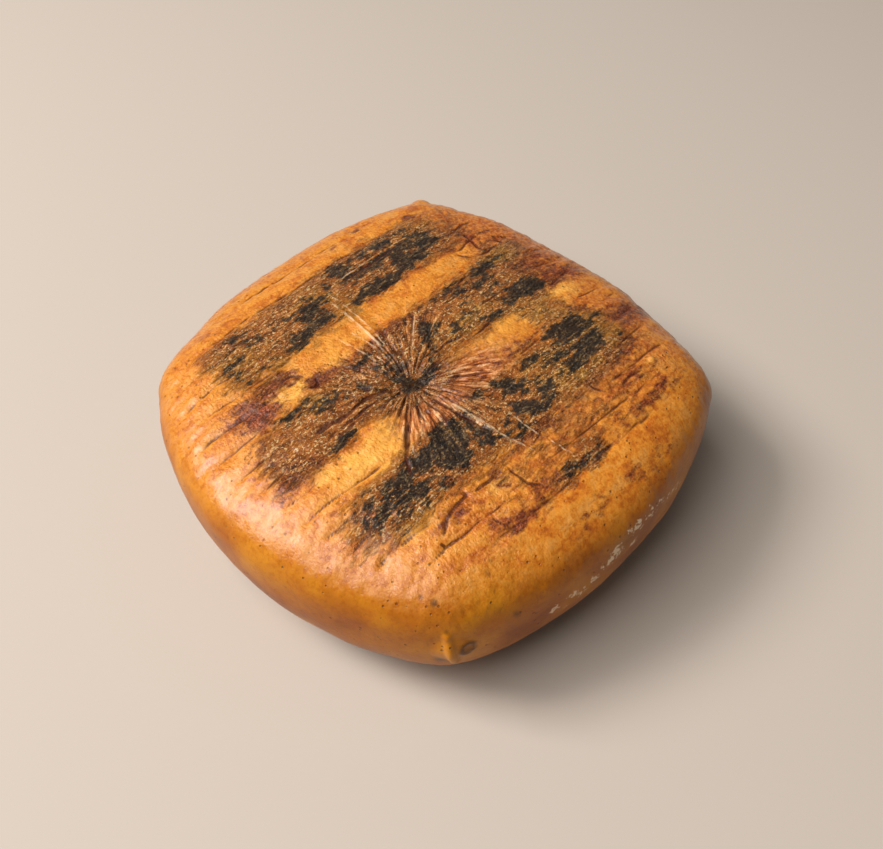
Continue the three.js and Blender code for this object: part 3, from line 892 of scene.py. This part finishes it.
def srgb(red, green, blue):
    """A colour as it is read off a screen, from 0 to 255, made linear."""
    parts = [c / 255 for c in (red, green, blue)]
    return tuple(c / 12.92 if c <= 0.04045 else ((c + 0.055) / 1.055) ** 2.4 for c in parts) + (1.0,)


def ramp(value, *stops):
    """Colours at rising values, blended in between. A stop is a value and a colour off a screen."""
    made = tree.nodes.new("ShaderNodeValToRGB")
    tree.links.new(value, made.inputs["Fac"])
    band = made.color_ramp.elements
    for end, (position, *colour) in ((0, stops[0]), (1, stops[-1])):
        band[end].position = position
        band[end].color = srgb(*colour)
    for position, *colour in stops[1:-1]:
        band.new(position).color = srgb(*colour)
    return made.outputs["Color"]


def mix_colours(share, under, over, blend="MIX"):
    """A mix node, whose sockets 0, 6 and 7 are the share and the two colours."""
    settings = {"data_type": "RGBA", "blend_type": blend}
    return add_node("Mix", settings, {0: share, 6: under, 7: over})[2]


def cover(under, mask, share, over):
    """Lays a colour over another where the mask is, as strongly as the share says."""
    return mix_colours(times(mask, share), under, srgb(*over) if isinstance(over, tuple) else over)


# %% [markdown]
# Two things are used again and again, so they are node groups of their own: the grain that
# eats into the border of a patch, and the coordinates that run out from the tie like spokes.

# %% The two node groups
def new_group(name, inputs, outputs):
    """An empty node group with named sockets."""
    group = bpy.data.node_groups.new(name, "ShaderNodeTree")
    for in_out, sockets in (("INPUT", inputs), ("OUTPUT", outputs)):
        for socket, kind in sockets.items():
            group.interface.new_socket(socket, in_out=in_out, socket_type="NodeSocket" + kind)
    return group


# Turns a soft amount into grains that cover about that share of the skin.
cover_inputs = dict.fromkeys(("Amount", "Fineness", "Grit", "Sharpness"), "Float")
tree = new_group("Grainy cover", {"Place": "Vector", **cover_inputs}, {"Mask": "Float"})
GRAINY_COVER = tree
given = tree.nodes.new("NodeGroupInput").outputs
grain_inputs = {"Vector": given["Place"], "Scale": given["Fineness"], "Detail": 5.0, "Roughness": 0.7}
grain = add_node("TexNoise", {}, grain_inputs)["Fac"]
total = plus(given["Amount"], times(minus(grain, 0.5), given["Grit"]))
steep = plus(times(minus(total, 0.5), given["Sharpness"]), 0.5)
shown = times(threshold(steep, 0.0, 1.0), threshold(given["Amount"], 0.03, 0.2))
tree.links.new(shown, tree.nodes.new("NodeGroupOutput").inputs["Mask"])

# Coordinates that change fast round the tie and slowly away from it.
RAYS_ROUND = 22.0
RAYS_OUTWARD = 0.16
tree = new_group("Rays from the tie", {"Place": "Vector"}, {"Ray": "Vector"})
RAYS = tree
given = tree.nodes.new("NodeGroupInput").outputs
flat = vector_node("MULTIPLY", vector_node("SUBTRACT", given["Place"], (tie[0], tie[1], 0)), (1, 1, 0))
parts = add_node("SeparateXYZ", {}, {"Vector": vector_node("NORMALIZE", flat)})
ray = {axis: times(parts[axis], RAYS_ROUND) for axis in "XY"}
ray["Z"] = times(vector_node("LENGTH", flat), RAYS_OUTWARD)
joined = add_node("CombineXYZ", {}, ray)["Vector"]
tree.links.new(joined, tree.nodes.new("NodeGroupOutput").inputs["Ray"])


def grainy(amount, place, grain, grit, sharpness=3.0):
    """The mask of an amount, with grains of that size in millimetres."""
    inputs = {"Amount": amount, "Place": place, "Fineness": 1 / grain, "Grit": grit, "Sharpness": sharpness}
    return add_node("Group", {"node_tree": GRAINY_COVER}, inputs)["Mask"]


print("groups:", GRAINY_COVER.name, "and", RAYS.name)

# %% [markdown]
# ## The rind
# From the inside out: a clear orange skin, more ochre on the sides; golden places that the
# cloth kept covered; a red-brown blush, partly painted shade on the far right; pale flecks
# painted as glints; red specks; the pink creases below the tie; red-brown stains; a gritty
# crust of dark crumbs and golden ones, these partly painted glints, drawn out along the folds
# and round the tie; black mould; dark creases, partly painted shade in their grooves, and pale
# seams, partly painted highlight; a white bloom on the side. Each layer is mixed over the
# last through its own mask, so each can be turned up or down alone.

# %% The rind
rind_paint = bpy.data.materials.new("oiled_rind")
rind_paint.use_nodes = True
tree = rind_paint.node_tree
shader = tree.nodes["Principled BSDF"]
place = in_millimetres()
top = painted("top")
leathery = painted("leathery")

broad = noise_node(place, 24, 3)
middling = noise_node(in_millimetres(1.6), 6, 5, 0.6, 0.6)
small = noise_node(place, 1.8, 5, 0.7)
fine = noise_node(place, 0.75, 3, 0.7)
# Streaks run along the folds, and like spokes near the tie.
round_tie = add_node("Group", {"node_tree": RAYS}, {"Place": place})["Ray"]
streak_mix = {
    0: threshold(painted("ray"), 0.1, 0.6),
    2: noise_node(in_millimetres(4.5), 1.2, 5, 0.7),
    3: noise_node(round_tie, 1.2, 5, 0.65),
}
streaks = add_node("Mix", {}, streak_mix)[0]

side_colour = ramp(broad, (0.34, 150, 80, 7), (0.5, 174, 102, 9), (0.66, 192, 123, 17))
field = plus(times(middling, 0.65), times(small, 0.35))
top_colour = ramp(field, (0.38, 180, 94, 26), (0.45, 203, 118, 34),
                  (0.53, 217, 139, 46), (0.63, 228, 162, 78))
colour = mix_colours(top, side_colour, top_colour)
mottle = ramp(small, (0.38, 226, 208, 182), (0.5, 250, 248, 244), (0.62, 255, 255, 255))
colour = mix_colours(0.62, colour, mottle, "MULTIPLY")
colour = cover(colour, threshold(middling, 0.52, 0.64), 0.2, (176, 92, 18))

gold_mask = grainy(painted("gold"), place, 5.0, 0.8, 1.6)
colour = cover(colour, gold_mask, 0.85, ramp(field, (0.38, 214, 138, 42), (0.6, 246, 182, 84)))

# Red-brown blush, partly painted shade on the far right, where the top turns away from the window.
blush_and_shade_mask = grainy(painted("blush_and_shade"), in_millimetres(1.4), 4.0, 2.0, 1.4)
blush_and_shade_colour = ramp(small, (0.38, 142, 62, 20), (0.48, 182, 94, 32), (0.62, 218, 138, 60))
colour = cover(colour, blush_and_shade_mask, 0.85, blush_and_shade_colour)

# Pale golden flecks on the wrinkled skin: painted glints of the oil.
flecks = times(threshold(fine, 0.55, 0.68), 0.3)
colour = cover(colour, flecks, leathery, (246, 186, 108))

specks = times(threshold(small, 0.56, 0.66), threshold(middling, 0.42, 0.58))
colour = cover(colour, specks, plus(times(top, 0.16), 0.12), (136, 58, 20))

flesh_mask = grainy(painted("flesh"), place, 3.0, 1.2, 1.8)
flesh_colour = ramp(streaks, (0.4, 100, 40, 16), (0.47, 182, 98, 44),
                    (0.54, 216, 138, 76), (0.62, 246, 192, 138))
colour = cover(colour, flesh_mask, 0.9, flesh_colour)

stain_mask = grainy(painted("stain"), in_millimetres(1.8), 2.4, 2.0, 1.6)
stain_field = plus(times(streaks, 0.5), times(fine, 0.5))
stain_colour = ramp(stain_field, (0.42, 40, 13, 18), (0.5, 92, 36, 26), (0.59, 158, 78, 40))
colour = cover(colour, stain_mask, 0.92, stain_colour)

# %% [markdown]
# The crust is the busiest layer. Its crumbs go from near black through brown to gold within
# a millimetre, and its tone drifts between red-brown and olive from place to place. Mould is
# the same grit, only black: the more of it, the fewer gaps are left between its grains.

# %% Crust and mould
crust = painted("crust")
crust_mask = grainy(crust, in_millimetres(2.5), 2.4, 1.8, 1.8)
crumb_field = plus(times(fine, 0.4), times(streaks, 0.6))
red_crust = ramp(crumb_field, (0.41, 22, 10, 4), (0.465, 96, 46, 16),
                 (0.52, 164, 92, 34), (0.57, 204, 132, 62), (0.62, 246, 204, 142))
olive_crust = ramp(crumb_field, (0.41, 22, 16, 6), (0.465, 92, 62, 18),
                   (0.52, 162, 110, 36), (0.57, 204, 150, 68), (0.62, 248, 212, 150))
olive_mask = grainy(painted("olive"), place, 4.0, 1.6, 1.6)
thick = times(crust_mask, threshold(plus(middling, small), 0.78, 1.12))
crust_share = plus(times(crust_mask, 0.5), times(thick, 0.45))
colour = mix_colours(crust_share, colour, mix_colours(olive_mask, red_crust, olive_crust))
colour = cover(colour, times(olive_mask, minus(1.0, crust_mask)), 0.4, (160, 112, 30))

uneven = plus(times(middling, 0.9), times(fine, 1.0))
mould_total = plus(times(painted("mould"), 1.05), times(crust, 0.12))
mould_total = plus(mould_total, times(minus(uneven, 0.95), crust))
mould_mask = grainy(mould_total, in_millimetres(2), 2.4, 2.4, 3.0)
mould_colour = ramp(crumb_field, (0.44, 10, 9, 7), (0.52, 34, 29, 21),
                    (0.57, 84, 62, 38), (0.62, 190, 144, 90))
colour = cover(colour, mould_mask, 0.95, mould_colour)

# Dark gaps between the crumbs, and pale crumbs that stand out of them. The pale crumbs are partly golden
# crumbs and partly painted glints of the oil.
on_crust = threshold(crust, 0.3, 0.8)
colour = cover(colour, times(threshold(small, 0.42, 0.36), on_crust), 0.65, (24, 12, 6))
not_black = plus(times(mould_mask, -0.82), 1.0)
crumbs = noise_node(in_millimetres(1.5), 0.9, 2, 0.6)
pale_crumbs_and_glints = times(times(threshold(crumbs, 0.58, 0.63), on_crust), not_black)
colour = cover(colour, pale_crumbs_and_glints, 0.75, (248, 212, 150))

# %% [markdown]
# The single marks lie over everything else. The dark lines and pale seams are the strokes that
# were pressed in above, roughened by a little noise, and small pits come from a pattern of
# cells. The dark lines are partly stained rind and partly painted shade in the grooves, and the
# pale seams are partly painted highlight. The bloom grew last, so it is mixed in last.

# %% Creases, seams, pits, scar and bloom
PIT_SPACING = 2.8

# Dark creases: partly stained rind, partly painted shade in the grooves.
crease_stain_and_shade_mask = threshold(plus(painted("crease_stain_and_shade"), times(small, 0.3)), 0.36, 0.78)
colour = cover(colour, crease_stain_and_shade_mask, 0.8, (74, 24, 8))
# Pale seams: raised ridges whose pale colour is partly the rind's own and partly painted highlight.
seam_and_highlight_mask = threshold(plus(painted("seam_and_highlight"), times(fine, 0.6)), 0.62, 1.08)
colour = cover(colour, seam_and_highlight_mask, 0.6, (246, 208, 162))

# One pit stands in some of the cells of a pattern, by the cell's random colour.
pits = add_node("TexVoronoi", {}, {"Vector": place, "Scale": 1 / PIT_SPACING})
pit_spot = minus(1.0, threshold(pits["Distance"], 0.1, 0.2))
pit_mask = times(pit_spot, threshold(pits["Color"], 0.6, 0.65))
colour = cover(colour, pit_mask, 0.6, (92, 48, 16))
# The scar, the open pores and a painted shadow beside the bloom.
colour = cover(colour, painted("scar"), 0.9, (64, 34, 14))
bloom_mask = grainy(painted("bloom"), place, 1.4, 2.4, 5.0)
colour = cover(colour, bloom_mask, 0.85, (238, 212, 178))
tree.links.new(colour, shader.inputs["Base Color"])
print("nodes for the colour:", len(tree.nodes))

# %% [markdown]
# ## Gloss and grain
# The rind is rubbed with oil, so it has a soft sheen that the tiny wrinkles break into
# sparks. Mould is almost dry. The finest relief comes from a bump whose heights are given in
# millimetres: pores and wrinkles like those of leather, a fine grain, and crumbs on crust.

# %% Gloss and grain
SIDE_ROUGHNESS = 0.38
TOP_ROUGHNESS = 0.18
MOULD_ROUGHNESS = 0.5
SHEEN_SPREAD = 0.2
SPECULAR_LEVEL = 0.27
OIL_ON_TOP = 0.4
OIL_ROUGHNESS = 0.3
PORE_SIZE = 1.6
PORE_HEIGHT = 0.25
WRINKLE_SIZE = 1.7
WRINKLE_HEIGHT = 0.55
GRAIN_HEIGHT = 0.26
CRUMB_HEIGHT = 1.7
PALE_CRUMB_HEIGHT = 0.25
PIT_DEPTH = 0.3

pore_inputs = {"Vector": in_millimetres(0.8, 1.3), "Scale": 1 / PORE_SIZE}
pores = add_node("TexVoronoi", {"feature": "SMOOTH_F1"}, pore_inputs)["Distance"]
wrinkle_field = noise_node(in_millimetres(0.9, 1.2), WRINKLE_SIZE, 1, 0.5)
from_ridge = math_node("ABSOLUTE", minus(wrinkle_field, 0.5))
leather_height = plus(times(pores, -PORE_HEIGHT), times(from_ridge, -WRINKLE_HEIGHT))
grain_height = times(plus(fine, small), GRAIN_HEIGHT)
surface = times(plus(leather_height, grain_height), plus(times(leathery, 0.8), 0.2))
crumb_share = plus(crust_mask, times(flesh_mask, 0.4))
surface = plus(surface, times(times(crumb_field, crumb_share), CRUMB_HEIGHT))
surface = plus(surface, times(pale_crumbs_and_glints, PALE_CRUMB_HEIGHT))
surface = plus(surface, times(pit_mask, -PIT_DEPTH))
grain_bump = add_node("Bump", {}, {"Strength": 1.0, "Distance": MM, "Height": surface})
tree.links.new(grain_bump["Normal"], shader.inputs["Normal"])

roughness = plus(times(minus(small, 0.5), SHEEN_SPREAD), SIDE_ROUGHNESS)
roughness = plus(roughness, times(top, TOP_ROUGHNESS - SIDE_ROUGHNESS))
dry = times(plus(mould_mask, bloom_mask), MOULD_ROUGHNESS - SIDE_ROUGHNESS)
tree.links.new(plus(roughness, dry), shader.inputs["Roughness"])
wet = plus(times(plus(mould_mask, times(stain_mask, 0.6)), -0.5), 1.0)
tree.links.new(times(times(painted("oil"), wet), OIL_ON_TOP), shader.inputs["Coat Weight"])
shader.inputs["Coat Roughness"].default_value = OIL_ROUGHNESS
shader.inputs["Specular IOR Level"].default_value = SPECULAR_LEVEL

rind.data.materials.clear()
rind.data.materials.append(rind_paint)
print("material nodes:", len(tree.nodes))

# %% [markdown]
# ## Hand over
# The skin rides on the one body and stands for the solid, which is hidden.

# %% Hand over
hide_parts("cheese")
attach(rind, "root")
